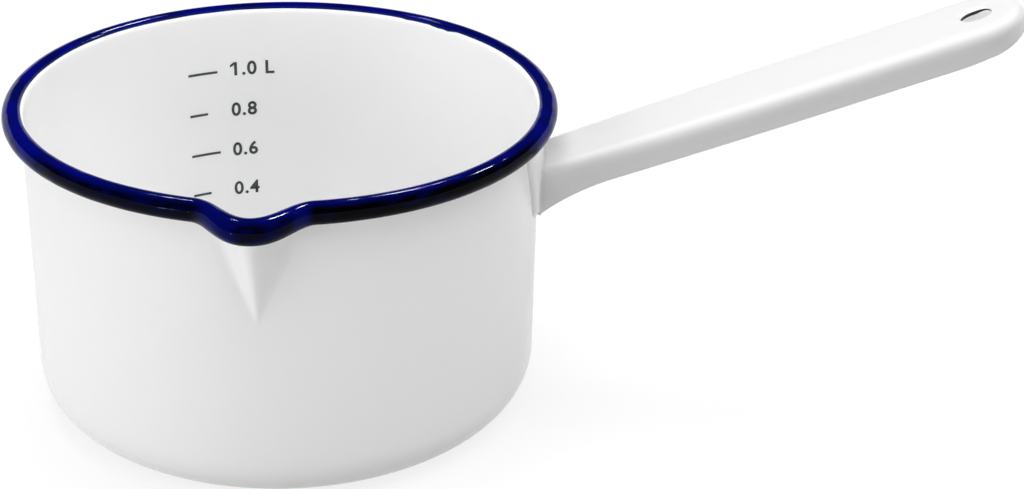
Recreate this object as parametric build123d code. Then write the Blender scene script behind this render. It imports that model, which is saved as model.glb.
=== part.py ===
from build123d import *

import os
from math import acos, cos, degrees, pi, radians, sin, sqrt

# An enamelled milk pan. The origin is the middle of the base where it stands on the table, +Z is up,
# the handle points along +X and the pouring lip along -Y. Sizes are millimetres, enamel included.

# Bowl
wall_radius = 70.0
wall = 0.9
base_corner = 13.3
bead_height = 85.8
bead_radius = 2.6

# Pouring lip: a crease that grows from nothing on the wall to its full reach at the rim
lip_reach = 9.2
lip_half_width = 15.0
crease_length = 32.0
lip_margin = 2.5
lip_azimuth = -90.0

# Blue glaze over the bead, from its inner top round the outside. It ran outwards and down as it
# fired, and pooled at the lip.
glaze = 0.4
glaze_clearance = 0.02
glaze_run = 0.1
lip_pool = 0.4
glaze_starts = 140.0
glaze_ends = -72.0

# Handle: one folded sheet, described on its own sloping top plane
handle_slope = 21.0
handle_top = 71.5
handle_length = 136.0
handle_sheet = 1.2
handle_depth = 9.0
root_half_width = 10.5
end_half_width = 13.3
widening = 80.0
root_run = 14.0
flare_end = 18.0
flare_radius = 68.0
rise_run = 22.0
rise_radius = 75.0
top_rounding = 3.4
low_rounding = 2.0
turned_in = 4.5
hole_radius = 4.4
hole_to_end = 12.6

# Saddle: the root plate on the wall
saddle_sheet = 1.4
saddle_top = 80.0
saddle_foot = 57.6
saddle_top_half = 22.0
saddle_foot_half = 11.4
saddle_corner = 2.0

# Volume marks, fired on the bore
decimetre = 100.0
mark_litres = (0.2, 0.4, 0.6, 0.8, 1.0)
mark_azimuth = 120.75
long_mark = 9.2
short_mark = 5.7
mark_line = 0.7
mark_coat = 0.15

overrun = 5.0

# Where the lip's cross-sections stand, crowded at its nose, and the heights that shape its wall,
# which widens from the crease's foot to the rim with eased ends
section_shares = [step / 12 for step in range(-12, 13)]
crowding = 1.5
height_shares = (0, 0.12, 0.24, 0.36, 0.48, 0.6, 0.72, 0.86, 1)
easing = 1.5

bore_radius = wall_radius - wall
bore_corner = base_corner - wall
bead_ring = bore_radius + bead_radius
crease_foot = bead_height - crease_length
lip_foot = crease_foot - lip_margin
lip_span = lip_half_width + lip_margin
lip_angle = degrees(lip_span / bead_ring)
wall_meets_bead = -degrees(acos(wall / bead_radius - 1))
wall_top = bead_height + bead_radius * sin(radians(wall_meets_bead))
end_centre = handle_length - end_half_width
past_end = handle_length + overrun
rise_start = handle_length - rise_run
handle_reach = 2 * (handle_depth + root_run)
saddle_radius = wall_radius + saddle_sheet
cutter_radius = wall_radius + lip_reach + overrun
cutter_height = 2 * (bead_height + bead_radius + overrun)
handle_plane = Plane(
    origin=(wall_radius, 0, handle_top),
    x_dir=(cos(radians(handle_slope)), 0, sin(radians(handle_slope))),
    z_dir=(-sin(radians(handle_slope)), 0, cos(radians(handle_slope))),
)


def radial_plane(azimuth):
    """An upright plane through the pan's middle: its X runs outwards and its Y runs up."""
    turn = radians(azimuth)
    return Plane(origin=(0, 0, 0), x_dir=(cos(turn), sin(turn), 0), z_dir=(sin(turn), -cos(turn), 0))


def reach(along):
    """How far the bead stands out of its round ring, at a distance along the ring from the lip."""
    if abs(along) >= lip_half_width:
        return 0
    return lip_reach / 2 * (1 + cos(pi * along / lip_half_width))


def stretch(along):
    """How much longer a radial cut through the slanting bead is than a square one."""
    if abs(along) >= lip_half_width:
        return 1
    slant = lip_reach / 2 * pi / lip_half_width * sin(pi * along / lip_half_width)
    return sqrt(1 + slant**2)


def wall_reach(along, height_share):
    """How far the bore stands out at a share of the crease's height: a cone with eased ends."""
    size_share = 1 - (1 - height_share**easing) ** easing
    if size_share == 0:
        return 0
    place = along / size_share
    return size_share * (reach(place) - bead_radius * (stretch(place) - 1))


def wall_line(along, top, thickness):
    """One side of the wall at a radial cut, from below the lip up to the bead."""
    points = [(bore_radius + thickness, lip_foot - overrun), (bore_radius + thickness, lip_foot)]
    for share in height_shares:
        out = wall_reach(along, share) + thickness * (1 + (stretch(along) - 1) * share)
        points.append((bore_radius + out, crease_foot + share * (top - crease_foot)))
    heights = [height for _, height in points]
    return Edge.make_spline(points, tangents=[(0, 1), (0, 1)], parameters=heights)


def bead_arc(along, start, end, coat=0, run=0):
    """Part of the bead's outline at a radial cut, or of a coat that ran outwards and down."""
    middle = (bead_ring + reach(along) + run * stretch(along), bead_height - run)
    size = bead_radius + coat
    return EllipticalCenterArc(middle, size * stretch(along), size, start_angle=start, arc_size=end - start)


def rim_section(along):
    """The wall and the rolled bead of the lip, cut radially at a distance along the ring."""
    inner = wall_line(along, bead_height, 0)
    outer = wall_line(along, wall_top, wall)
    bead = bead_arc(along, wall_meets_bead, 180)
    face = make_face([Line(inner @ 0, outer @ 0), outer, bead, inner])
    return radial_plane(lip_azimuth + degrees(along / bead_ring)) * face


def glaze_section(along):
    """The glaze on the bead, cut radially. It is thicker at the lip, where it pooled."""
    pool = lip_pool * reach(along) / lip_reach
    outer = bead_arc(along, glaze_ends, glaze_starts, glaze + pool, glaze_run + pool / sqrt(2))
    inner = bead_arc(along, glaze_ends, glaze_starts, glaze_clearance)
    face = make_face([outer, inner, Line(inner @ 0, outer @ 0), Line(inner @ 1, outer @ 1)])
    return radial_plane(lip_azimuth + degrees(along / bead_ring)) * face


def lip_loft(section):
    """A loft through the radial sections of the lip, closer together at its nose."""
    places = [lip_span * share * abs(share) ** (crowding - 1) for share in section_shares]
    return loft([section(place) for place in places])


def lip_gap():
    """The sector of the round rim that the lip takes up."""
    inside = bore_radius - overrun
    top = cutter_height / 2
    middle = ((inside + cutter_radius) / 2, (lip_foot + top) / 2)
    cut = Pos(*middle) * Rectangle(cutter_radius - inside, top - lip_foot)
    cut = radial_plane(lip_azimuth - lip_angle) * cut
    return revolve(cut, Axis.Z, revolution_arc=2 * lip_angle)


def round_bowl():
    """The bowl without its lip: base, corner, straight wall and rolled bead."""
    bead = bead_arc(lip_span, wall_meets_bead, 180)
    outside = FilletPolyline((0, 0), (wall_radius, 0), bead @ 0, radius=base_corner)
    inside = FilletPolyline(bead @ 1, (bore_radius, wall), (0, wall), radius=bore_corner)
    profile = make_face([outside, bead, inside, Line((0, wall), (0, 0))])
    return revolve(radial_plane(0) * profile, Axis.Z)


def make_bowl():
    below = extrude(Plane.XY * Circle(cutter_radius), lip_foot)
    return round_bowl() - lip_gap() + (lip_loft(rim_section) - below)


def make_rim_enamel():
    return revolve(glaze_section(lip_span), Axis.Z) - lip_gap() + lip_loft(glaze_section)


def handle_outline(inset):
    """The handle seen square to its top, drawn in by an inset all round."""
    root = (-root_run, root_half_width - inset)
    shoulder = (widening, end_half_width - inset)
    tip = (end_centre, end_half_width - inset)
    spread = 2 * (end_half_width - root_half_width) / (widening + root_run)
    side = Spline([root, shoulder], tangents=((1, spread), (1, 0)))
    straight = Line(shoulder, tip)
    nose = CenterArc((end_centre, 0), end_half_width - inset, -90, 180)
    other = [mirror(line, Plane.XZ) for line in (side, straight)]
    root_edge = Line(side @ 0, other[0] @ 0)
    return make_face([side, straight, nose, root_edge, *other])


def handle_side(inset):
    """The handle seen from the side: level top, a flare at the root and a rise at the end."""
    top, low = -inset, inset - handle_depth
    flare = flare_radius + inset
    rise = rise_radius - inset
    flare_drop = flare - sqrt(flare**2 - (flare_end + root_run) ** 2)
    end_rise = rise - sqrt(rise**2 - (past_end - rise_start) ** 2)
    root_low = (-root_run, low - flare_drop)
    end_low = (past_end, low + end_rise)
    lines = [
        RadiusArc(root_low, (flare_end, low), flare),
        Line((flare_end, low), (rise_start, low)),
        RadiusArc((rise_start, low), end_low, -rise),
        Polyline(end_low, (past_end, top), (-root_run, top), root_low),
    ]
    return Plane.XZ * make_face(lines)


def handle_form(inset):
    """The handle's closed form on its own plane, smaller all round by an inset."""
    block = extrude(handle_outline(inset), handle_reach, both=True)
    form = block & extrude(handle_side(inset), end_half_width + overrun, both=True)
    top_face = form.faces().sort_by(Axis.Z)[-1]
    form = fillet(long_edges(top_face.edges()), top_rounding - inset)
    low_edges = ShapeList()
    for face in form.faces().filter_by(lambda face: face.normal_at().Z < -0.5):
        low_edges += face.edges()
    return fillet(long_edges(low_edges), low_rounding - inset)


def long_edges(edges):
    """The edges that run along the handle or round its end, and none that cross it."""
    return edges.filter_by(lambda edge: abs((edge @ 0).X - (edge @ 1).X) > handle_sheet
                           or (edge @ 0.5).X > end_centre + handle_sheet)


def make_handle_shell():
    shell = handle_form(0) - handle_form(handle_sheet)
    slot = extrude(handle_outline(handle_sheet + turned_in), -handle_reach)
    shell -= Pos(0, 0, -handle_depth / 2) * slot
    shell -= Pos(handle_length - hole_to_end, 0, 0) * Cylinder(hole_radius, handle_depth)
    return handle_plane * shell - Cylinder(saddle_radius, cutter_height)


def make_saddle():
    corners = Polyline(
        (-saddle_top_half, saddle_top),
        (saddle_top_half, saddle_top),
        (saddle_foot_half, saddle_foot),
        (-saddle_foot_half, saddle_foot),
        close=True,
    )
    shield = make_face(corners)
    shield = fillet(shield.vertices(), saddle_corner)
    plate = extrude(Plane.YZ * shield, cutter_radius)
    plate &= Cylinder(saddle_radius, cutter_height)
    return plate - Cylinder(wall_radius, cutter_height)


def fill_height(litres):
    """The height over the table of so many litres in the bowl, past its rounded base."""
    flat = bore_radius - bore_corner
    corner_volume = pi * bore_corner * (
        flat**2 + flat * pi * bore_corner / 2 + 2 * bore_corner**2 / 3
    )
    rest = litres * decimetre**3 - corner_volume
    return wall + bore_corner + rest / (pi * bore_radius**2)


def make_marks():
    marks = []
    for place, litres in enumerate(mark_litres):
        length = short_mark if place % 2 else long_mark
        sweep = degrees(length / bore_radius)
        middle = (bore_radius - mark_coat / 2, fill_height(litres))
        line = Pos(*middle) * Rectangle(mark_coat, mark_line)
        line = radial_plane(mark_azimuth - sweep) * line
        marks.append(revolve(line, Axis.Z, revolution_arc=sweep))
    return Compound(marks)


nodes = {
    "bowl": make_bowl,
    "rim_enamel": make_rim_enamel,
    "handle_shell": make_handle_shell,
    "handle_saddle": make_saddle,
    "measure_marks": make_marks,
}

os.makedirs("parts", exist_ok=True)
for name, make in nodes.items():
    export_step(make(), f"parts/{name}.step")
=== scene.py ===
from math import acos, atan2, cos, degrees, hypot, pi, radians, sin, sqrt

import bmesh
import bpy
from bpy.props import FloatProperty, FloatVectorProperty, IntProperty, PointerProperty
from mathutils import Matrix, Quaternion, Vector, noise


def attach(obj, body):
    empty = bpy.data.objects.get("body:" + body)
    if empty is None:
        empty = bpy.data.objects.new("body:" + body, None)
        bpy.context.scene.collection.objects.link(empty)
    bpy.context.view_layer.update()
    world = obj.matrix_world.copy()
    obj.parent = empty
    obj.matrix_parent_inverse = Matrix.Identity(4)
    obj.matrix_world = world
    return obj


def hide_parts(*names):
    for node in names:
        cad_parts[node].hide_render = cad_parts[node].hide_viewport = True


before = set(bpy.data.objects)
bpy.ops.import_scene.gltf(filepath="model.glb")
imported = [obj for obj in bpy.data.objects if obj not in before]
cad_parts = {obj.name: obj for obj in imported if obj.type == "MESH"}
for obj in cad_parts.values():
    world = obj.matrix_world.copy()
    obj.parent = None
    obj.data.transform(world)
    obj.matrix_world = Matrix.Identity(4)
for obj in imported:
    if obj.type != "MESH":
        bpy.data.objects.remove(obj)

bpy.context.view_layer.update()

bl_info = {
    "name": "Enamelled milk pan",
    "version": (1, 0, 0),
    "blender": (4, 5, 0),
    "location": "3D View > Sidebar > Milk Pan",
    "description": "The visible pieces of an enamelled milk pan, built on its fixed frame",
    "category": "Add Mesh",
}

LITRE = 0.001
# Points closer than this count as one place
TOUCHING = 1e-6


def metres(name, description, default):
    return FloatProperty(name=name, description=description, default=default, precision=5,
                         subtype="DISTANCE", unit="LENGTH")


def angle_setting(name, description, default):
    return FloatProperty(name=name, description=description, default=radians(default),
                         subtype="ANGLE", unit="ROTATION")


def group_setting(kind, name, description):
    return PointerProperty(type=kind, name=name, description=description)


def number_setting(name, description, default):
    return FloatProperty(name=name, description=description, default=default, precision=4)


def colour_setting(name, description, default):
    return FloatVectorProperty(name=name, description=description, default=default, size=3,
                               min=0, max=1, subtype="COLOR")


def place_setting(name, description, default):
    return FloatVectorProperty(name=name, description=description, default=default, size=3,
                               precision=5, subtype="TRANSLATION", unit="LENGTH")


class PanBowlSettings(bpy.types.PropertyGroup):
    """Sizes of the pressed bowl and of its pouring lip."""
    wall_radius: metres("Wall radius", "Outside radius of the straight wall", 0.070)
    wall: metres("Wall", "Thickness of the enamelled sheet", 0.0009)
    base_corner: metres("Base corner", "Outside radius where wall and base meet", 0.0133)
    bead_height: metres("Bead height", "Height of the middle of the rolled edge", 0.0858)
    bead_radius: metres("Bead radius", "Radius of the rolled edge", 0.0026)
    lip_azimuth: angle_setting("Lip azimuth", "Where the pouring lip stands round the rim", -90)
    lip_reach: metres("Lip reach", "How far the lip stands out of the ring", 0.0092)
    lip_half_width: metres("Lip half width", "Half the lip's width along the rim", 0.015)
    lip_margin: metres("Lip margin", "Fine mesh kept past the lip on each side", 0.0025)
    crease_length: metres("Crease length", "How far the lip's crease runs down", 0.032)
    easing: number_setting("Easing", "How gently the crease starts and ends", 1.5)
    blunting: number_setting("Blunting", "How broad the crease stays towards its foot", 0.65)
    narrowing: number_setting("Narrowing", "How much narrower than the lip the crease is", 0.08)
    softness: number_setting("Softness", "How gently the crease's sides leave the wall", 0.6)
    lip_steps: IntProperty(name="Lip steps", default=84,
                           description="Steps of the mesh through the lip")
    round_steps: IntProperty(name="Round steps", default=216,
                             description="Steps of the mesh round the rest")


class PanGlazeSettings(bpy.types.PropertyGroup):
    """The blue glaze over the rolled edge."""
    coat: metres("Coat", "Thickness of the glaze on the bead", 0.0004)
    run: metres("Run", "How far the glaze sagged outwards and down", 0.0001)
    pool: metres("Pool", "How much thicker the glaze lies on the lip", 0.0004)
    buried: metres("Buried", "How deep the glaze's back lies in the bead", 0.0002)
    inner_edge: angle_setting("Inner edge", "Where the glaze starts inside, round the bead", 140)
    outer_edge: angle_setting("Outer edge", "Where the glaze ends under the bead", -72)
    thinning: number_setting("Thinning", "Share of the coat that thins to an edge", 0.1)
    wander: angle_setting("Wander", "How much the hand-laid edges wander", 3.5)
    colour: colour_setting("Colour", "Blue of the coat", (0.0006, 0.0016, 0.066))
    bright: colour_setting("Bright colour", "Blue of the brighter clouds", (0.0008, 0.0015, 0.2))
    # Painted shade: the near black laid where shade and dark reflections fall on the glaze
    dark: colour_setting("Dark colour", "Near black where the coat lies thick",
                         (0.0004, 0.0005, 0.0012))
    edge_colour: colour_setting("Edge colour", "Blue where the coat is thin", (0.012, 0.025, 0.15))


class PanHandleSettings(bpy.types.PropertyGroup):
    """Sizes of the folded handle on its own sloping top plane, and of its root plate."""
    slope: angle_setting("Slope", "How steeply the handle rises", 21)
    top: metres("Top", "Height where the handle's top plane meets the wall", 0.0715)
    length: metres("Length", "Length from the wall along the top plane", 0.136)
    sheet: metres("Sheet", "Thickness of the enamelled sheet", 0.0012)
    depth: metres("Depth", "Depth of the folded sides", 0.0101)
    lean: metres("Lean", "How far the sides lean in over their depth", 0.0022)
    root_half_width: metres("Root half width", "Half the width at the wall", 0.01083)
    end_half_width: metres("End half width", "Half the width at the end", 0.0133)
    widening: metres("Widening", "Where the handle reaches its full width", 0.080)
    flare_end: metres("Flare end", "Where the deepening towards the root starts", 0.018)
    flare_radius: metres("Flare radius", "Radius of that deepening", 0.068)
    rise_start: metres("Rise start", "Where the lower edge starts to rise", 0.114)
    rise_radius: metres("Rise radius", "Radius of that rise", 0.075)
    top_rounding: metres("Top rounding", "Radius between top and sides", 0.0028)
    low_rounding: metres("Low rounding", "Radius between sides and flanges", 0.002)
    turned_in: metres("Turned in", "Width of the turned-in flanges", 0.0045)
    hole_radius: metres("Hole radius", "Radius of the hanging hole", 0.0046)
    hole_to_end: metres("Hole to end", "From the hole's middle to the handle's end", 0.0126)
    hole_collar: metres("Hole collar", "How deep the hole's drawn edge stands", 0.0020)
    collar_rise: metres("Collar rise", "How much less deep it is towards the end", 0.0010)
    weld: metres("Weld", "Radius of the enamel-filled weld at the root", 0.0011)
    saddle_sheet: metres("Saddle sheet", "Thickness of the root plate", 0.0014)
    saddle_top: metres("Saddle top", "Height of the root plate's upper edge", 0.080)
    saddle_foot: metres("Saddle foot", "Height of the root plate's lower edge", 0.0568)
    saddle_top_half: metres("Saddle top half", "Half the plate's upper width", 0.0236)
    saddle_foot_half: metres("Saddle foot half", "Half the plate's lower width", 0.0127)
    saddle_corner: metres("Saddle corner", "Radius of the plate's corners", 0.0043)
    saddle_slope: metres("Saddle slope", "Width of the slope from the plate to the wall", 0.0021)
    saddle_edge: metres("Saddle edge", "Softening of the slope's upper end", 0.0004)


class PanMarkSettings(bpy.types.PropertyGroup):
    """The fired-on volume lines and numerals."""
    colour: colour_setting("Colour", "Dark green-grey of the print", (0.024, 0.036, 0.033))
    numeral_height: metres("Numeral height", "Height of a figure", 0.00444)
    numeral_lift: metres("Numeral lift", "How far the figures stand above their line", 0.0005)
    numeral_azimuth: angle_setting("Numeral azimuth", "Where the figures start in the bore", 109.8)
    spacing: number_setting("Spacing", "Spacing of the figures", 1.12)
    weight: number_setting("Weight", "Boldness of the figures", 0.022)
    print_coat: metres("Print coat", "Thickness of the print", 0.00008)


class PanEnamelSettings(bpy.types.PropertyGroup):
    """The white enamel."""
    colour: colour_setting("Colour", "White of the enamel", (0.9, 0.9, 0.9))
    # Near black, used at the lower end of the hanging hole's collar
    ground: colour_setting("Ground coat", "Dark first coat that shows on bare edges",
                           (0.004, 0.004, 0.005))
    roughness: number_setting("Roughness", "Roughness of the gloss", 0.16)


class PanStageSettings(bpy.types.PropertyGroup):
    """Floor, lamps and camera."""
    camera_place: place_setting("Camera place", "Where the camera stands",
                                (0.05607, -0.49990, 0.29109))
    camera_aim: place_setting("Camera aim", "What the middle of the picture looks at",
                              (0.06343, 0.0, 0.04369))
    camera_roll: angle_setting("Camera roll", "Turn of the camera about its own line", 1.7506)
    lens: number_setting("Lens", "Focal length in millimetres on a 36 mm frame", 69.43)
    floor_size: metres("Floor size", "Side of the square floor", 6.0)
    room_light: number_setting("Room light", "Even light from all round", 0.04)
    lamp_share: number_setting("Lamp share", "Share of the softboxes' full power", 1)
    glint_power: number_setting("Glint power", "Watts of each small lamp", 4.5)
    hole_power: number_setting("Hole power", "Watts of the small lamp inside the handle", 0.0013)
    paper_height: metres("Paper height", "How far up the white paper shows in the gloss", 0.5)
    floor_shade: number_setting("Floor shade", "How much light the floor throws back", 0.465)


def settings(context):
    return context.scene.milk_pan


# Meshes and pieces


def into_scene(name, data):
    """Makes an object of the data and puts it in the scene."""
    made = bpy.data.objects.new(name, data)
    bpy.context.scene.collection.objects.link(made)
    return made


def new_object(bm, name, material):
    mesh = bpy.data.meshes.new(name)
    bm.to_mesh(mesh)
    bm.free()
    mesh.materials.append(material)
    return into_scene(name, mesh)


def new_piece(bm, name, material, replaced=()):
    """Makes the bmesh a smooth piece of the pan that rides on its one body."""
    piece = new_object(bm, name, material)
    piece.data.polygons.foreach_set("use_smooth", [True] * len(piece.data.polygons))
    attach(piece, "root")
    if replaced:
        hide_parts(*replaced)
    return piece


def everything(bm):
    return list(bm.verts) + list(bm.edges) + list(bm.faces)


def only(made, kind):
    """The items of one kind that a bmesh operator made."""
    return [item for item in made["geom"] if isinstance(item, kind)]


def extrude(bm, edges):
    """Draws the edges out to new ones. Gives the new edges and their points."""
    made = bmesh.ops.extrude_edge_only(bm, edges=edges)
    return only(made, bmesh.types.BMEdge), only(made, bmesh.types.BMVert)


def arc(middle, radius, start, end, steps):
    """Points on an arc in the radial plane, in degrees, both ends among them."""
    turns = [radians(start + (end - start) * step / steps) for step in range(steps + 1)]
    return [(middle[0] + radius * cos(turn), middle[1] + radius * sin(turn)) for turn in turns]


def rise(start, end, steps):
    """Even steps from start to end, both among them."""
    return [start + (end - start) * step / steps for step in range(steps + 1)]


def smooth(share):
    share = min(max(share, 0), 1)
    return share * share * (3 - 2 * share)


# The bowl's places, and the pouring lip, which bends the bowl and the glaze alike


def bore_radius(bowl):
    return bowl.wall_radius - bowl.wall


def bead_ring(bowl):
    return bore_radius(bowl) + bowl.bead_radius


def wall_top_angle(bowl):
    """Where the outside of the wall meets the bead, round the bead's middle."""
    return -degrees(acos(bowl.wall / bowl.bead_radius - 1))


def wall_top(bowl):
    """The height at which the outside of the wall meets the bead."""
    return bowl.bead_height + bowl.bead_radius * sin(radians(wall_top_angle(bowl)))


def crease_foot(bowl):
    return bowl.bead_height - bowl.crease_length


def reach(bowl, along):
    """How far the bead stands out of its round ring, at a distance along it from the lip."""
    if abs(along) >= bowl.lip_half_width:
        return 0
    return bowl.lip_reach / 2 * (1 + cos(pi * along / bowl.lip_half_width))


def stretch(bowl, along):
    """How much longer a radial cut through the slanting bead is than a square one."""
    if abs(along) >= bowl.lip_half_width:
        return 1
    slant = bowl.lip_reach / 2 * pi / bowl.lip_half_width * sin(pi * along / bowl.lip_half_width)
    return sqrt(1 + slant**2)


def lip_along(bowl, point):
    """A point's distance from the lip, along the bead's ring."""
    turn = atan2(point.y, point.x) - bowl.lip_azimuth
    turn = (turn + pi) % (2 * pi) - pi
    return turn * bead_ring(bowl)


# Share of the crease's height over which the lip's form passes into the crease's
LIP_BLEND = 0.2


def lip_shift(bowl, along, share, depth):
    """How far a point moves out at a share of the crease's height, depth outside the bore."""
    size = 1 - (1 - share**bowl.easing) ** bowl.easing
    if size == 0:
        return 0
    below = smooth((1 - share) / LIP_BLEND)
    place = along / (size**bowl.blunting * (1 - bowl.narrowing * below))
    bulge = bowl.lip_reach * (reach(bowl, place) / bowl.lip_reach) ** (1 + bowl.softness * below)
    out = size * (bulge - bowl.bead_radius * (stretch(bowl, place) - 1))
    return out + depth * (stretch(bowl, along) - 1) * share


def move_out(vert, distance):
    """Moves a point away from the bowl's axis."""
    radius = hypot(vert.co.x, vert.co.y)
    if distance and radius:
        vert.co.x *= (radius + distance) / radius
        vert.co.y *= (radius + distance) / radius


def spin_round(bm, bowl, outline, closed):
    """Spins an outline of radius and height right round, finely through the lip."""
    half = (bowl.lip_half_width + bowl.lip_margin) / bead_ring(bowl)
    turn = Matrix.Rotation(bowl.lip_azimuth - half, 3, "Z")
    verts = [bm.verts.new(turn @ Vector((radius, 0, height))) for radius, height in outline]
    pairs = list(zip(verts, verts[1:]))
    if closed:
        pairs.append((verts[-1], verts[0]))
    geometry = verts + [bm.edges.new(pair) for pair in pairs]
    for angle, steps in ((2 * half, bowl.lip_steps), (2 * pi - 2 * half, bowl.round_steps)):
        made = bmesh.ops.spin(bm, geom=geometry, axis=(0, 0, 1), angle=angle, steps=steps)
        geometry = made["geom_last"]
    bmesh.ops.remove_doubles(bm, verts=bm.verts, dist=TOUCHING)
    bmesh.ops.recalc_face_normals(bm, faces=bm.faces)


# Bowl


# Steps of the outline along each of its stretches
BASE_STEPS, CORNER_STEPS, WALL_STEPS, CREASE_STEPS, BEAD_STEPS = 5, 16, 10, 24, 36


def bowl_outline(bowl):
    """The bowl's outline from the middle of the base, round the bead, to the middle inside."""
    bore, outside, foot = bore_radius(bowl), bowl.wall_radius, crease_foot(bowl)
    flat = outside - bowl.base_corner
    middle = (bead_ring(bowl), bowl.bead_height)
    corner = (flat, bowl.base_corner)
    outline = [(radius, 0) for radius in rise(0, flat, BASE_STEPS)[:-1]]
    outline += arc(corner, bowl.base_corner, -90, 0, CORNER_STEPS)
    outline += [(outside, height) for height in rise(bowl.base_corner, foot, WALL_STEPS)[1:-1]]
    outline += [(outside, height) for height in rise(foot, wall_top(bowl), CREASE_STEPS)[:-1]]
    outline += arc(middle, bowl.bead_radius, wall_top_angle(bowl), 180, BEAD_STEPS)
    outline += [(bore, height) for height in rise(bowl.bead_height, foot, CREASE_STEPS)[1:]]
    outline += [(bore, height) for height in rise(foot, bowl.base_corner, WALL_STEPS)[1:-1]]
    outline += arc(corner, bowl.base_corner - bowl.wall, 0, -90, CORNER_STEPS)
    outline += [(radius, bowl.wall) for radius in rise(flat, 0, BASE_STEPS)[1:]]
    return outline


def crease_share(bowl, point):
    """The share of the crease's height at which a point of the bowl lies."""
    foot = crease_foot(bowl)
    depth = hypot(point.x, point.y) - bowl.wall_radius
    if depth > bowl.wall / 10 or point.z > bowl.bead_height:
        return 1
    top = wall_top(bowl) if depth > -bowl.wall / 2 else bowl.bead_height
    return min(max((point.z - foot) / (top - foot), 0), 1)


def make_bowl(bowl, enamel):
    bm = bmesh.new()
    spin_round(bm, bowl, bowl_outline(bowl), False)
    for vert in bm.verts:
        share = crease_share(bowl, vert.co)
        depth = hypot(vert.co.x, vert.co.y) - bore_radius(bowl)
        if share:
            move_out(vert, lip_shift(bowl, lip_along(bowl, vert.co), share, depth))
    return new_piece(bm, "bowl_body", white_enamel(enamel), ["bowl"])


# Rim glaze


# Steps of the coat's section over its face and along its back
GLAZE_STEPS, GLAZE_BACK_STEPS = 40, 14
# How quickly the edges wander round the rim, slowly and quickly, and the quick wander's share
SLOW_WANDER, QUICK_WANDER, QUICK_SHARE = 2.2, 9, 0.4
# Place round the rim, width and amount of each run of the glaze, in degrees, and the base of
# its bell curve
INNER_DRIPS = ((54.8, 2.6, 11), (51.2, 1.5, 12), (60, 1.1, 6), (63.3, 1.2, 7))
OUTER_DRIPS = ((-81, 1.2, 9), (-42, 3, -5), (-140, 4, -6))
DRIP_BELL = 2.718
# Start, end, rise and fall round the rim in degrees, and amount, of each stretch of painted shade:
# near black painted on the glaze where shade and dark reflections fall
PAINTED_SHADE_SPANS = ((-81, -30, 3, 16, 1.1), (-94, -83, 3, 2, 0.9), (-150, -101, 14, 5, 0.95))
# Where it ends round the bead and how much it fades over, in degrees
PAINTED_SHADE_END, PAINTED_SHADE_FADE = 74, 34
# How quickly its patches change round the rim and over the bead, and how strongly
PATCHES_ROUND, PATCHES_OVER, PATCH_STRENGTH = 22, 3, 0.6


def ring_noise(angle, quickness, seed):
    """Smooth noise that closes on itself round the rim."""
    return noise.noise(Vector((quickness * cos(angle), quickness * sin(angle), seed)))


def wandering(angle, seed):
    """A smooth wander of about -1 to 1 round the rim."""
    quick = ring_noise(angle, QUICK_WANDER, seed + 5)
    return ring_noise(angle, SLOW_WANDER, seed) + QUICK_SHARE * quick


def drip(angle, place, width, amount):
    """How far one run of the glaze reaches at an angle round the rim."""
    offset = (degrees(angle) - place + 180) % 360 - 180
    return radians(amount) * DRIP_BELL ** (-((offset / width) ** 2))


def thickness(azimuth, angle):
    """Painted shade and painted dark reflection on the outer side of the bead, from 0 to 1, round
    the rim.
    """
    turn = degrees(azimuth)
    share = 0
    for start, end, rise_over, fall_over, amount in PAINTED_SHADE_SPANS:
        risen = amount * smooth((turn - start) / rise_over)
        share += risen * smooth((end + fall_over - turn) / fall_over)
    outer = smooth((radians(PAINTED_SHADE_END) - angle) / radians(PAINTED_SHADE_FADE))
    patches = 0.5 + PATCH_STRENGTH * ring_noise(azimuth, PATCHES_ROUND, PATCHES_OVER * angle)
    return min(share, 1) * outer * min(max(share + patches - 0.5, 0), 1)


def glaze_outline(bowl, glaze):
    """The section of the coat: thin at both edges, with its back inside the bead."""
    middle = (bead_ring(bowl), bowl.bead_height)
    outline = []
    for step in range(GLAZE_STEPS + 1):
        share = step / GLAZE_STEPS
        edges = smooth(share / glaze.thinning) * smooth((1 - share) / glaze.thinning)
        size = bowl.bead_radius + glaze.coat * sqrt(edges)
        angle = glaze.outer_edge + (glaze.inner_edge - glaze.outer_edge) * share
        outline.append((middle[0] + size * cos(angle), middle[1] + size * sin(angle)))
    size = bowl.bead_radius - glaze.buried
    return outline + arc(middle, size, degrees(glaze.inner_edge), degrees(glaze.outer_edge),
                         GLAZE_BACK_STEPS)


def lay_glaze(bowl, glaze, vert, thin, thick):
    """Moves a point of the even coat to where the hand-dipped one lies."""
    azimuth = atan2(vert.co.y, vert.co.x)
    along = lip_along(bowl, vert.co)
    across = hypot(vert.co.x, vert.co.y) - bead_ring(bowl)
    height = vert.co.z - bowl.bead_height
    angle, size = atan2(height, across), hypot(across, height)
    share = (angle - glaze.outer_edge) / (glaze.inner_edge - glaze.outer_edge)
    inner = glaze.inner_edge + glaze.wander * wandering(azimuth, 1)
    inner += sum(drip(azimuth, *one) for one in INNER_DRIPS)
    outer = glaze.outer_edge - glaze.wander * wandering(azimuth, 8)
    outer -= sum(drip(azimuth, *one) for one in OUTER_DRIPS)
    angle = outer + share * (inner - outer)
    fullness = max(size - bowl.bead_radius, 0) / glaze.coat
    pool = glaze.pool * reach(bowl, along) / bowl.lip_reach
    size += fullness * pool
    run = fullness * (glaze.run + pool / sqrt(2))
    vert[thin] = 1 - fullness
    # Painted shade, near black on the outer side of the bead
    vert[thick] = thickness(azimuth, angle)
    new_across = run + size * cos(angle)
    shift = reach(bowl, along) + new_across * (stretch(bowl, along) - 1)
    move_out(vert, new_across - across + shift)
    vert.co.z = bowl.bead_height - run + size * sin(angle)


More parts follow.
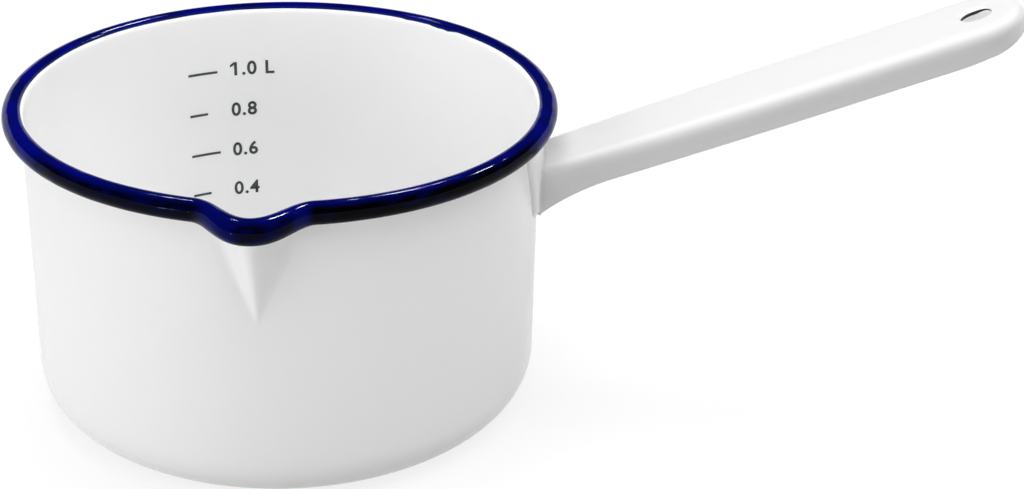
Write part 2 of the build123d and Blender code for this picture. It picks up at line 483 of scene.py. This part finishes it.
def make_rim_glaze(bowl, glaze):
    bm = bmesh.new()
    thin, thick = (bm.verts.layers.float.new(name) for name in ("thin", "thick"))
    spin_round(bm, bowl, glaze_outline(bowl, glaze), True)
    for vert in bm.verts:
        lay_glaze(bowl, glaze, vert, thin, thick)
    return new_piece(bm, "rim_glaze", blue_enamel(glaze), ["rim_enamel"])


# Handle


HOLE_STEPS = 64
# How far each loop round the hole lies on the way to the outer edge of the top's flat
HOLE_LOOPS = (0.06, 0.14, 0.4, 0.7, 1)
# Where the rows of the top crowd towards the root, how many come before and in it, and the last
CROWD_START, CROWD_END, LONG_ROWS, CROWDED_ROWS = 0.020, 0.002, 34, 9
LAST_ROWS = (0.0014, 0.0009, 0.0005, 0.0002, 0)
# Degrees between the loops round the upper and the lower rounding of the side
TOP_TURN, LOW_TURN = 15, 18
# Shares of the way down the side at which it has loops, and at which it starts to lean
SIDE_LOOPS, LEAN_START = (0.2, 0.4, 0.7, 1), 0.1
FLANGE_EDGE = 0.0003
# Softening of the hole's upper edge, and the turns of its loops in degrees
HOLE_EDGE, HOLE_EDGE_TURNS = 0.0003, (30, 60, 85)
# Shares of the collar's depth at which it has loops, and whether it is near black there
COLLAR_LOOPS = ((-0.5, 0), (-0.57, 1), (-1, 1))
# How deep a seated piece reaches into what carries it
SEAT_OVERLAP = 0.0001
# Rounds of fitting the root to the curved plate
SEAT_ROUNDS = 3
# Share of the root's half width at which the weld starts to stand out
WELD_START = 0.2
EDGE_SOFTENING, SHARP_EDGE = 0.00025, 50


def handle_matrix(bowl, handle):
    """From the handle's own plane to the pan."""
    turn = Matrix.Rotation(-handle.slope, 4, "Y")
    return Matrix.Translation((bowl.wall_radius, 0, handle.top)) @ turn


def end_centre(handle):
    return handle.length - handle.end_half_width


def hole_centre(handle):
    return Vector((handle.length - handle.hole_to_end, 0, 0))


def flat_half(handle):
    """Half the width of the top's flat, where the handle has its full width."""
    return handle.end_half_width - handle.top_rounding


def spine(handle, point):
    """The point's foot on the handle's middle line, and its way out from there."""
    foot = Vector((min(point.x, end_centre(handle)), 0))
    return foot, (Vector((point.x, point.y)) - foot).normalized()


def make_top(bm, handle):
    """The flat of the top, with the hanging hole ringed by its own loops. Gives its edges."""
    hole = hole_centre(handle)
    centre = Vector((end_centre(handle), 0, 0))
    outward = bm.verts.layers.float_vector.new("outward")
    bmesh.ops.create_circle(bm, radius=handle.hole_radius, segments=HOLE_STEPS)
    for vert in bm.verts:
        vert[outward] = vert.co.normalized()
    collar = ring = list(bm.edges)
    for share in HOLE_LOOPS:
        ring, verts = extrude(bm, ring)
        for vert in verts:
            way = vert[outward]
            square = 1 if way.x > -TOUCHING else max(abs(way.x), abs(way.y))
            outer = centre - hole + way * (flat_half(handle) / square)
            vert.co = (way * handle.hole_radius).lerp(outer, share)
    bmesh.ops.translate(bm, verts=bm.verts, vec=hole)
    bm.verts.layers.float_vector.remove(outward)
    return collar, ring


def run_to_root(bm, handle, ring):
    """Carries the top's back edge down to the root, in rows that crowd there."""
    back = end_centre(handle) - flat_half(handle)
    row = [edge for edge in ring if all(abs(vert.co.x - back) < TOUCHING for vert in edge.verts)]
    stations = rise(back, CROWD_START, LONG_ROWS)[1:]
    stations += rise(CROWD_START, CROWD_END, CROWDED_ROWS)[1:]
    for station in (*stations, *LAST_ROWS):
        row, verts = extrude(bm, row)
        for vert in verts:
            vert.co.x = station
    return row


def side_loops(handle):
    """Offsets from the spine, depths and shares of the lean of the loops down the side, and round
    into the flange."""
    half, depth = handle.end_half_width, handle.depth
    top, low = handle.top_rounding, handle.low_rounding
    inner = half - handle.turned_in
    loops = [(half - top + top * sin(turn), -top * (1 - cos(turn)), 0)
             for turn in map(radians, range(TOP_TURN, 91, TOP_TURN))]
    loops += [(half, -top + share * (low - depth + top), (share - LEAN_START) / (1 - LEAN_START))
              for share in SIDE_LOOPS]
    loops += [(half - low * (1 - cos(turn)), low - depth - low * sin(turn), 1)
              for turn in map(radians, range(LOW_TURN, 91, LOW_TURN))]
    loops += [(offset, -depth, 1)
              for offset in (half - (half - inner + low) / 2, inner + FLANGE_EDGE, inner)]
    return loops


def fold_sides(bm, handle, collar, root_row):
    """Folds the sides down from the top's open edge, and turns their lower edges in."""
    shut = set(collar) | set(root_row)
    chain = [edge for edge in bm.edges if len(edge.link_faces) == 1 and edge not in shut]
    for offset, height, lean in side_loops(handle):
        chain, verts = extrude(bm, chain)
        for vert in verts:
            foot, way = spine(handle, vert.co)
            lean_in = handle.lean * lean * (1 - max(way.x, 0))
            vert.co = Vector((*(foot + way * (offset - lean_in)), height))


def draw_collar(bm, handle, collar, ground):
    """Draws the hole's edge down into a short collar, near black at its lower end."""
    hole = hole_centre(handle)
    levels = [(handle.hole_radius - HOLE_EDGE * sin(turn), -HOLE_EDGE * (1 - cos(turn)), 0)
              for turn in map(radians, HOLE_EDGE_TURNS)]
    inner = handle.hole_radius - HOLE_EDGE
    levels += [(inner, share, bare) for share, bare in COLLAR_LOOPS]
    ring = collar
    for radius, height, bare in levels:
        ring, verts = extrude(bm, ring)
        for vert in verts:
            way = (Vector((vert.co.x, vert.co.y, 0)) - hole).normalized()
            deep = handle.hole_collar - handle.collar_rise * smooth(way.x)
            down = height if radius > inner else height * deep
            vert.co = hole + way * radius + Vector((0, 0, down))
            # Near black at the collar's lower end
            vert[ground] = bare


def lower_edge(handle, x):
    """How far the lower edge stands below or above its level stretch."""
    if x < handle.flare_end:
        return sqrt(handle.flare_radius**2 - (handle.flare_end - x) ** 2) - handle.flare_radius
    if x > handle.rise_start:
        return handle.rise_radius - sqrt(handle.rise_radius**2 - (x - handle.rise_start) ** 2)
    return 0


def half_width_share(handle, x):
    """The handle's width at a place, as a share of its full width."""
    if x >= handle.widening:
        return 1
    gain = handle.end_half_width - handle.root_half_width
    return 1 - gain * ((handle.widening - x) / handle.widening) ** 2 / handle.end_half_width


def shape_handle_point(bowl, handle, vert):
    """Moves a point of the even handle to its tapered, flared place, seated on the root plate."""
    x, y, height = vert.co
    seat = bowl.wall_radius + handle.saddle_sheet - SEAT_OVERLAP
    low_share = smooth((-height - handle.top_rounding / 2) / (handle.depth - handle.top_rounding))
    new_x, new_y, new_z = x, y, height
    for _ in range(SEAT_ROUNDS):
        new_y = y * half_width_share(handle, max(new_x, 0))
        new_z = height + low_share * lower_edge(handle, new_x)
        out = sqrt(seat**2 - new_y**2) - bowl.wall_radius
        root = (out + new_z * sin(handle.slope)) / cos(handle.slope)
        free = max(1 - x / handle.flare_end, 0)
        new_x = x + free * root
    if x < handle.weld:
        bulge = handle.weld - sqrt(handle.weld**2 - (handle.weld - x) ** 2)
        side = smooth(abs(y) / handle.root_half_width - WELD_START)
        new_y += bulge * side * (1 if y > 0 else -1)
        new_z += bulge * (1 - smooth(-height / handle.top_rounding))
    vert.co = (new_x, new_y, new_z)


def make_handle(bowl, handle, enamel):
    bm = bmesh.new()
    ground = bm.verts.layers.float.new("ground")
    collar, ring = make_top(bm, handle)
    root_row = run_to_root(bm, handle, ring)
    fold_sides(bm, handle, collar, root_row)
    draw_collar(bm, handle, collar, ground)
    bmesh.ops.recalc_face_normals(bm, faces=bm.faces)
    if sum(face.normal.z * face.calc_area() for face in bm.faces) < 0:
        bmesh.ops.reverse_faces(bm, faces=bm.faces)
    for vert in bm.verts:
        shape_handle_point(bowl, handle, vert)
    bm.transform(handle_matrix(bowl, handle))
    piece = new_piece(bm, "handle", white_enamel(enamel), ["handle_shell"])
    thicken = piece.modifiers.new("Sheet", "SOLIDIFY")
    thicken.thickness = handle.sheet
    thicken.offset = -1
    thicken.use_even_offset = True
    round_edges = piece.modifiers.new("Edges", "BEVEL")
    round_edges.width = EDGE_SOFTENING
    round_edges.segments = 2
    round_edges.limit_method = "ANGLE"
    round_edges.angle_limit = radians(SHARP_EDGE)
    return piece


# Root plate


# Cuts to each side of the plate's middle that let it bend, and their spacing
PLATE_CUTS, PLATE_CUT_SPACING = 14, 0.0015


def round_off(bm, geometry, kind, offset, segments):
    bmesh.ops.bevel(bm, geom=geometry, offset=offset, affect=kind, segments=segments, profile=0.5,
                    material=-1)


def make_saddle(bowl, handle, enamel):
    bm = bmesh.new()
    top_half, foot_half = handle.saddle_top_half, handle.saddle_foot_half
    corners = [(-top_half, handle.saddle_top), (top_half, handle.saddle_top),
               (foot_half, handle.saddle_foot), (-foot_half, handle.saddle_foot)]
    bm.faces.new([bm.verts.new((bowl.wall_radius - SEAT_OVERLAP, y, z)) for y, z in corners])
    round_off(bm, list(bm.verts), "VERTICES", handle.saddle_corner, 6)
    made = bmesh.ops.extrude_face_region(bm, geom=list(bm.faces))
    bmesh.ops.translate(bm, verts=only(made, bmesh.types.BMVert), vec=(2 * SEAT_OVERLAP, 0, 0))
    front = only(made, bmesh.types.BMFace)[0]
    bmesh.ops.inset_region(bm, faces=[front], thickness=handle.saddle_slope, use_even_offset=True)
    bmesh.ops.translate(bm, verts=list(front.verts), vec=(handle.saddle_sheet - SEAT_OVERLAP, 0, 0))
    round_off(bm, list(front.edges), "EDGES", handle.saddle_edge, 4)
    for step in range(-PLATE_CUTS, PLATE_CUTS + 1):
        bmesh.ops.bisect_plane(bm, geom=everything(bm), dist=TOUCHING / 10,
                               plane_co=(0, step * PLATE_CUT_SPACING, 0), plane_no=(0, 1, 0))
    bmesh.ops.recalc_face_normals(bm, faces=bm.faces)
    for vert in bm.verts:
        radius, turn = vert.co.x, vert.co.y / bowl.wall_radius
        vert.co.x, vert.co.y = radius * cos(turn), radius * sin(turn)
    return new_piece(bm, "handle_root", white_enamel(enamel), ["handle_saddle"])


# Volume marks


MARKED_LITRES = (0.2, 0.4, 0.6, 0.8, 1.0)
# Length, drop and thickness of the figure one's flag, as shares of the figure's height
FLAG_LENGTH, FLAG_DROP, FLAG_THICKNESS = 0.29, 0.2, 0.18
# Gap between the print's outer face and the enamel
PRINT_GAP = 0.00002


def fill_height(bowl, litres):
    """The height over the table of so many litres in the bowl."""
    bore = bore_radius(bowl)
    corner = bowl.base_corner - bowl.wall
    flat = bore - corner
    corner_volume = pi * corner * (flat**2 + flat * pi * corner / 2 + 2 * corner**2 / 3)
    return bowl.wall + corner + (litres * LITRE - corner_volume) / (pi * bore**2)


def numeral_mesh(marks, words):
    """A flat mesh of the figures in the built-in typeface."""
    curve = bpy.data.curves.new("figures", "FONT")
    curve.body = words
    curve.space_character = marks.spacing
    curve.offset = marks.weight
    lettering = into_scene("figures", curve)
    bpy.context.view_layer.update()
    shaped = lettering.evaluated_get(bpy.context.evaluated_depsgraph_get())
    mesh = bpy.data.meshes.new_from_object(shaped)
    bpy.data.objects.remove(lettering)
    return mesh


def add_flag(mesh, left, low, high):
    """The flag of the figure one, which the font draws as a bare stem. Gives its left end."""
    tall = high - low
    bm = bmesh.new()
    bm.from_mesh(mesh)
    for vert in bmesh.ops.create_grid(bm, x_segments=1, y_segments=1, size=0.5)["verts"]:
        along, up = vert.co.x - 0.5, vert.co.y - 0.5
        vert.co = (left + FLAG_LENGTH * tall * along,
                   high + tall * (FLAG_DROP * along + FLAG_THICKNESS * up), 0)
    bm.to_mesh(mesh)
    bm.free()
    return left - FLAG_LENGTH * tall


def make_numerals(bowl, marks):
    bm = bmesh.new()
    bore = bore_radius(bowl)
    radius = bore - marks.print_coat - PRINT_GAP
    for litres in MARKED_LITRES:
        words = f"{litres} L" if litres == MARKED_LITRES[-1] else str(litres)
        mesh = numeral_mesh(marks, words)
        across, up = zip(*(vert.co[:2] for vert in mesh.vertices))
        left, low, high = min(across), min(up), max(up)
        if words.startswith("1"):
            left = add_flag(mesh, left, low, high)
        size = marks.numeral_height / (high - low)
        base = fill_height(bowl, litres) - marks.numeral_height / 2 + marks.numeral_lift
        before = len(bm.verts)
        bm.from_mesh(mesh)
        bm.verts.ensure_lookup_table()
        for vert in bm.verts[before:]:
            turn = marks.numeral_azimuth - (vert.co.x - left) * size / bore
            height = base + (vert.co.y - low) * size
            vert.co = (radius * cos(turn), radius * sin(turn), height)
    bmesh.ops.recalc_face_normals(bm, faces=bm.faces)
    for face in bm.faces:
        middle = face.calc_center_median()
        if face.normal.x * middle.x + face.normal.y * middle.y > 0:
            face.normal_flip()
    piece = new_piece(bm, "volume_numerals", print_enamel(marks))
    thicken = piece.modifiers.new("Print", "SOLIDIFY")
    thicken.thickness = marks.print_coat
    thicken.offset = -1
    return piece


# Finishes


def new_material(name):
    material = bpy.data.materials.new(name)
    material.use_nodes = True
    tree = material.node_tree
    return material, tree, tree.nodes["Principled BSDF"]


def noise_node(tree, scale, detail):
    place = tree.nodes.new("ShaderNodeTexCoord")
    grain = tree.nodes.new("ShaderNodeTexNoise")
    grain.inputs["Scale"].default_value = scale
    grain.inputs["Detail"].default_value = detail
    tree.links.new(place.outputs["Object"], grain.inputs["Vector"])
    return grain.outputs["Fac"]


def attribute_node(tree, name):
    attribute = tree.nodes.new("ShaderNodeAttribute")
    attribute.attribute_name = name
    return attribute.outputs["Fac"]


def mix_colours(tree, share, first, second):
    """A Mix node from the first colour to the second. Either is a colour or another socket."""
    mix = tree.nodes.new("ShaderNodeMix")
    mix.data_type = "RGBA"
    tree.links.new(share, mix.inputs["Factor"])
    for socket, colour in ((mix.inputs["A"], first), (mix.inputs["B"], second)):
        if isinstance(colour, bpy.types.NodeSocket):
            tree.links.new(colour, socket)
        else:
            socket.default_value = (*colour, 1)
    return mix.outputs["Result"]


def map_range(tree, value, span, to_span):
    """Carries the first span of a value over to the second."""
    remap = tree.nodes.new("ShaderNodeMapRange")
    tree.links.new(value, remap.inputs["Value"])
    for name, number in zip(("From Min", "From Max", "To Min", "To Max"), (*span, *to_span)):
        remap.inputs[name].default_value = number
    return remap.outputs["Result"]


def add_bump(tree, shader, height, distance, strength):
    """Adds a bump under whatever the shader's normal already has."""
    bump = tree.nodes.new("ShaderNodeBump")
    bump.inputs["Distance"].default_value = distance
    bump.inputs["Strength"].default_value = strength
    tree.links.new(height, bump.inputs["Height"])
    if shader.inputs["Normal"].is_linked:
        tree.links.new(shader.inputs["Normal"].links[0].from_socket, bump.inputs["Normal"])
    tree.links.new(bump.outputs["Normal"], shader.inputs["Normal"])


def white_enamel(enamel):
    """Glossy white enamel: faint cloudiness, orange peel, and near black at the lower end of the
    hanging hole's collar.
    """
    found = bpy.data.materials.get("white_enamel_gloss")
    if found:
        return found
    material, tree, shader = new_material("white_enamel_gloss")
    cloud = noise_node(tree, scale=28, detail=2)
    shade = [value * 0.985 for value in enamel.colour]
    body = mix_colours(tree, cloud, enamel.colour, shade)
    # Near black at the lower end of the hanging hole's collar
    body = mix_colours(tree, attribute_node(tree, "ground"), body, enamel.ground)
    tree.links.new(body, shader.inputs["Base Color"])
    rough = map_range(tree, cloud, (0.3, 0.7), (enamel.roughness * 0.85, enamel.roughness * 1.15))
    tree.links.new(rough, shader.inputs["Roughness"])
    add_bump(tree, shader, noise_node(tree, scale=60, detail=1), distance=0.0004, strength=0.35)
    add_bump(tree, shader, noise_node(tree, scale=900, detail=2), distance=0.00002, strength=0.35)
    return material


def blue_enamel(glaze):
    """Deep blue glaze, lighter where it runs thin, with the slow ripple of a dipped coat, and
    painted shade near black on the outer side of the bead.
    """
    material, tree, shader = new_material("blue_enamel_gloss")
    cloud = map_range(tree, noise_node(tree, scale=70, detail=3), (0.45, 0.75), (0, 0.7))
    body = mix_colours(tree, cloud, glaze.colour, glaze.bright)
    # Painted shade: near black where shade and dark reflections fall on the rim
    body = mix_colours(tree, attribute_node(tree, "thick"), body, glaze.dark)
    body = mix_colours(tree, attribute_node(tree, "thin"), body, glaze.edge_colour)
    tree.links.new(body, shader.inputs["Base Color"])
    rough = map_range(tree, noise_node(tree, scale=160, detail=2), (0.3, 0.7), (0.05, 0.1))
    tree.links.new(rough, shader.inputs["Roughness"])
    add_bump(tree, shader, noise_node(tree, scale=110, detail=1), distance=0.0006, strength=0.6)
    shader.inputs["Specular IOR Level"].default_value = 0.05
    return material


def print_enamel(marks):
    """Satin dark print, slightly uneven in its density."""
    material, tree, shader = new_material("mark_enamel_satin")
    density = map_range(tree, noise_node(tree, scale=1500, detail=2), (0.35, 0.7), (0, 1))
    faded = [value * 1.7 for value in marks.colour]
    tree.links.new(mix_colours(tree, density, marks.colour, faded), shader.inputs["Base Color"])
    shader.inputs["Roughness"].default_value = 0.4
    return material


# Stage


# How far the floor lies below the base
FLOOR_GAP = 0.0001
# How much of plain white the camera sees of the floor
FLOOR_WHITE = 0.8
# Where the lamps of the studio point, how far off they stand, and the side of each soft lamp
LAMP_AIM, LAMP_DISTANCE, SOFTBOX_SIZE = Vector((0.02, 0, 0.05)), 1.0, 0.6
# Way round and height in degrees, and watts, of each soft lamp
SOFTBOXES = {"front": (-90, 60, 2.4), "right": (5, 32, 2.2), "high_right": (10, 60, 2.7),
             "top": (120, 75, 5.5), "low_front": (-125, 4, 2.9), "low_left": (-165, 6, 3.0),
             "high_left": (-150, 35, 1.4)}
# The same of each soft lamp that is flagged off the handle
FLAGGED = {"low_right": (-20, 15, 1.8), "low_fill": (-125, 4, 2.2), "top_fill": (120, 75, 3.0)}
# Way round and height in degrees, size, and share of the power of each glint's lamp
GLINTS = ((80, 52, 0.1, 1), (42, 47, 0.07, 0.6), (118, 54, 0.05, 0.25), (-130, 6, 0.05, 0.12))
# Size of the lamp inside the handle, its place beside and below the hole, and the lit spot's depth
CARD_SIZE, CARD_SIDE, CARD_DEPTH, LIT_DEPTH = 0.004, -0.007, -0.007, -0.005


def camera_only_white(tree, shader, share):
    """Mixes plain white into a shader for the rays that see the background."""
    path = tree.nodes.new("ShaderNodeLightPath")
    seen = path.outputs["Is Camera Ray"]
    for name in ("Is Glossy Ray", "Is Transmission Ray"):
        both = tree.nodes.new("ShaderNodeMath")
        both.operation = "MAXIMUM"
        tree.links.new(seen, both.inputs[0])
        tree.links.new(path.outputs[name], both.inputs[1])
        seen = both.outputs["Value"]
    scaled = tree.nodes.new("ShaderNodeMath")
    scaled.operation = "MULTIPLY"
    scaled.inputs[1].default_value = share
    tree.links.new(seen, scaled.inputs[0])
    kind = "ShaderNodeBackground" if shader.type == "BACKGROUND" else "ShaderNodeEmission"
    white = tree.nodes.new(kind)
    white.inputs["Strength"].default_value = 1
    white.inputs["Color"].default_value = (1, 1, 1, 1)
    mix = tree.nodes.new("ShaderNodeMixShader")
    tree.links.new(scaled.outputs["Value"], mix.inputs["Fac"])
    tree.links.new(shader.outputs[0], mix.inputs[1])
    tree.links.new(white.outputs[0], mix.inputs[2])
    return mix.outputs["Shader"]


def make_world(stage):
    world = bpy.data.worlds.new("studio")
    world.use_nodes = True
    tree = world.node_tree
    room = tree.nodes["Background"]
    room.inputs["Color"].default_value = (1, 1, 1, 1)
    room.inputs["Strength"].default_value = stage.room_light
    result = camera_only_white(tree, room, 1)
    tree.links.new(result, tree.nodes["World Output"].inputs["Surface"])
    bpy.context.scene.world = world


def make_floor(stage):
    material, tree, shader = new_material("studio_floor_white")
    path = tree.nodes.new("ShaderNodeLightPath")
    shade = mix_colours(tree, path.outputs["Is Camera Ray"], [stage.floor_shade] * 3, (1, 1, 1))
    tree.links.new(shade, shader.inputs["Base Color"])
    shader.inputs["Roughness"].default_value = 0.9
    shader.inputs["Specular IOR Level"].default_value = 0
    result = camera_only_white(tree, shader, FLOOR_WHITE)
    tree.links.new(result, tree.nodes["Material Output"].inputs["Surface"])
    bm = bmesh.new()
    bmesh.ops.create_grid(bm, x_segments=8, y_segments=8, size=stage.floor_size / 2)
    bmesh.ops.translate(bm, verts=bm.verts, vec=(0, 0, -FLOOR_GAP))
    floor = new_object(bm, "studio_floor", material)


def make_dark_ceiling(stage):
    """A dark room above the paper backdrop, which only the gloss sees."""
    material, tree, shader = new_material("dark_ceiling_cloth")
    shader.inputs["Base Color"].default_value = (0.02, 0.02, 0.02, 1)
    bm = bmesh.new()
    bmesh.ops.create_uvsphere(bm, u_segments=48, v_segments=24, radius=stage.floor_size / 3)
    bmesh.ops.bisect_plane(bm, geom=everything(bm), dist=TOUCHING, plane_no=(0, 0, -1),
                           plane_co=(0, 0, stage.paper_height), clear_outer=True)
    ceiling = new_object(bm, "dark_ceiling", material)
    for kind in ("camera", "diffuse", "transmission", "volume_scatter", "shadow"):
        setattr(ceiling, "visible_" + kind, False)


def look_from(place, aim, roll=0):
    turn = (Vector(aim) - Vector(place)).to_track_quat("-Z", "Y") @ Quaternion((0, 0, 1), roll)
    return Matrix.Translation(place) @ turn.to_matrix().to_4x4()


def new_lamp(name, place, aim, size, power):
    """A square lamp at a place, which points at another."""
    lamp = bpy.data.lights.new(name, "AREA")
    lamp.size = size
    lamp.energy = power
    holder = into_scene(name, lamp)
    holder.matrix_world = look_from(place, aim)
    return holder


def studio_lamp(name, azimuth, height, size, power):
    """A lamp that faces the pan from a way round and a height in degrees."""
    turn, lift = radians(azimuth), radians(height)
    way = Vector((cos(turn) * cos(lift), sin(turn) * cos(lift), sin(lift)))
    return new_lamp(name, LAMP_AIM + way * LAMP_DISTANCE, LAMP_AIM, size, power)


def link_lamp(holder, piece, state):
    """Keeps a lamp to one piece, or flags it off that piece."""
    linked = bpy.data.collections.new(holder.name + "_linked")
    linked.objects.link(bpy.data.objects[piece])
    linked.collection_objects[0].light_linking.link_state = state
    holder.light_linking.receiver_collection = linked


def make_softbox(name, azimuth, height, power):
    """A soft lamp that gives no glint."""
    holder = studio_lamp(name + "_softbox", azimuth, height, SOFTBOX_SIZE, power)
    holder.visible_glossy = False
    if name in FLAGGED:
        link_lamp(holder, "handle", "EXCLUDE")


def make_glint(name, azimuth, height, size, power):
    """A small lamp that shows only as a glint on the rim's glaze."""
    holder = studio_lamp(name, azimuth, height, size, power)
    holder.visible_diffuse = False
    link_lamp(holder, "rim_glaze", "INCLUDE")


def make_hole_card(bowl, handle, stage):
    """A small lamp inside the handle, for what shows through the hanging hole."""
    hole, to_pan = hole_centre(handle), handle_matrix(bowl, handle)
    place = to_pan @ Vector((hole.x, CARD_SIDE, CARD_DEPTH))
    aim = to_pan @ Vector((hole.x, handle.end_half_width, LIT_DEPTH))
    holder = new_lamp("hole_card", place, aim, CARD_SIZE, stage.hole_power)
    holder.visible_glossy = False
    holder.visible_camera = False
    link_lamp(holder, "handle", "INCLUDE")


def make_camera(stage):
    lens = bpy.data.cameras.new("view")
    lens.lens = stage.lens
    lens.sensor_fit = "HORIZONTAL"
    lens.sensor_width = 36
    lens.clip_start = 0.01
    camera = into_scene("view", lens)
    camera.matrix_world = look_from(stage.camera_place, stage.camera_aim, stage.camera_roll)
    bpy.context.scene.camera = camera


def make_stage(bowl, handle, stage):
    make_world(stage)
    make_floor(stage)
    make_dark_ceiling(stage)
    for name, (azimuth, height, power) in (SOFTBOXES | FLAGGED).items():
        make_softbox(name, azimuth, height, power * stage.lamp_share)
    make_hole_card(bowl, handle, stage)
    for place, (azimuth, height, size, share) in enumerate(GLINTS):
        make_glint(f"glint_{place}", azimuth, height, size, stage.glint_power * share)
    make_camera(stage)
    bpy.context.scene.view_settings.view_transform = "Standard"


# Operators


class PanOperator:
    """What all of the pan's operators share."""
    bl_options = {"REGISTER", "UNDO"}


class MILK_PAN_OT_bowl(PanOperator, bpy.types.Operator):
    """Builds the white bowl with its rolled edge and pouring lip"""
    bl_idname = "milk_pan.bowl"
    bl_label = "Bowl"

    def execute(self, context):
        pan = settings(context)
        make_bowl(pan.bowl, pan.enamel)
        return {"FINISHED"}


class MILK_PAN_OT_rim_glaze(PanOperator, bpy.types.Operator):
    """Lays the blue glaze over the rolled edge"""
    bl_idname = "milk_pan.rim_glaze"
    bl_label = "Rim glaze"

    def execute(self, context):
        pan = settings(context)
        make_rim_glaze(pan.bowl, pan.glaze)
        return {"FINISHED"}


class MILK_PAN_OT_handle(PanOperator, bpy.types.Operator):
    """Folds the long handle with its hanging hole"""
    bl_idname = "milk_pan.handle"
    bl_label = "Handle"

    def execute(self, context):
        pan = settings(context)
        make_handle(pan.bowl, pan.handle, pan.enamel)
        return {"FINISHED"}


class MILK_PAN_OT_root_plate(PanOperator, bpy.types.Operator):
    """Bends the root plate that carries the handle on the wall"""
    bl_idname = "milk_pan.root_plate"
    bl_label = "Root plate"

    def execute(self, context):
        pan = settings(context)
        make_saddle(pan.bowl, pan.handle, pan.enamel)
        return {"FINISHED"}


class MILK_PAN_OT_marks(PanOperator, bpy.types.Operator):
    """Prints the volume lines and their numerals inside the bowl"""
    bl_idname = "milk_pan.marks"
    bl_label = "Volume marks"

    def execute(self, context):
        pan = settings(context)
        make_numerals(pan.bowl, pan.marks)
        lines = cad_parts["measure_marks"].data.materials
        lines.clear()
        lines.append(bpy.data.materials["mark_enamel_satin"])
        return {"FINISHED"}


class MILK_PAN_OT_stage(PanOperator, bpy.types.Operator):
    """Sets up the pale floor, the soft lamps and the camera"""
    bl_idname = "milk_pan.stage"
    bl_label = "Stage"

    def execute(self, context):
        pan = settings(context)
        make_stage(pan.bowl, pan.handle, pan.stage)
        return {"FINISHED"}


OPERATORS = (MILK_PAN_OT_bowl, MILK_PAN_OT_rim_glaze, MILK_PAN_OT_handle, MILK_PAN_OT_root_plate,
             MILK_PAN_OT_marks, MILK_PAN_OT_stage)


class PanSettings(bpy.types.PropertyGroup):
    """All of the pan's settings."""
    bowl: group_setting(PanBowlSettings, "Bowl", "The pressed bowl")
    glaze: group_setting(PanGlazeSettings, "Glaze", "The blue rim")
    handle: group_setting(PanHandleSettings, "Handle", "Handle and root plate")
    marks: group_setting(PanMarkSettings, "Marks", "Volume lines and numerals")
    enamel: group_setting(PanEnamelSettings, "Enamel", "The white enamel")
    stage: group_setting(PanStageSettings, "Stage", "Floor, lamps and camera")


class MILK_PAN_PT_panel(bpy.types.Panel):
    """Lists the pan's pieces and settings"""
    bl_label = "Milk Pan"
    bl_idname = "MILK_PAN_PT_panel"
    bl_space_type = "VIEW_3D"
    bl_region_type = "UI"
    bl_category = "Milk Pan"

    def draw(self, context):
        pan = settings(context)
        for operator in OPERATORS:
            self.layout.operator(operator.bl_idname)
        for name in ("bowl", "glaze", "handle", "marks", "enamel", "stage"):
            group = getattr(pan, name)
            box = self.layout.box()
            box.label(text=name.capitalize())
            for setting in group.bl_rna.properties:
                if setting.identifier not in ("rna_type", "name"):
                    box.prop(group, setting.identifier)


CLASSES = (PanBowlSettings, PanGlazeSettings, PanHandleSettings, PanMarkSettings, PanEnamelSettings,
           PanStageSettings, PanSettings, *OPERATORS, MILK_PAN_PT_panel)


def register():
    for cls in CLASSES:
        bpy.utils.register_class(cls)
    bpy.types.Scene.milk_pan = PointerProperty(type=PanSettings, name="Milk pan",
                                               description="Settings of the milk pan")


def unregister():
    del bpy.types.Scene.milk_pan
    for cls in reversed(CLASSES):
        bpy.utils.unregister_class(cls)


def main():
    register()
    bpy.ops.milk_pan.bowl()
    bpy.ops.milk_pan.rim_glaze()
    bpy.ops.milk_pan.handle()
    bpy.ops.milk_pan.root_plate()
    bpy.ops.milk_pan.marks()
    bpy.ops.milk_pan.stage()
    bpy.context.view_layer.update()


if __name__ == "__main__":
    main()
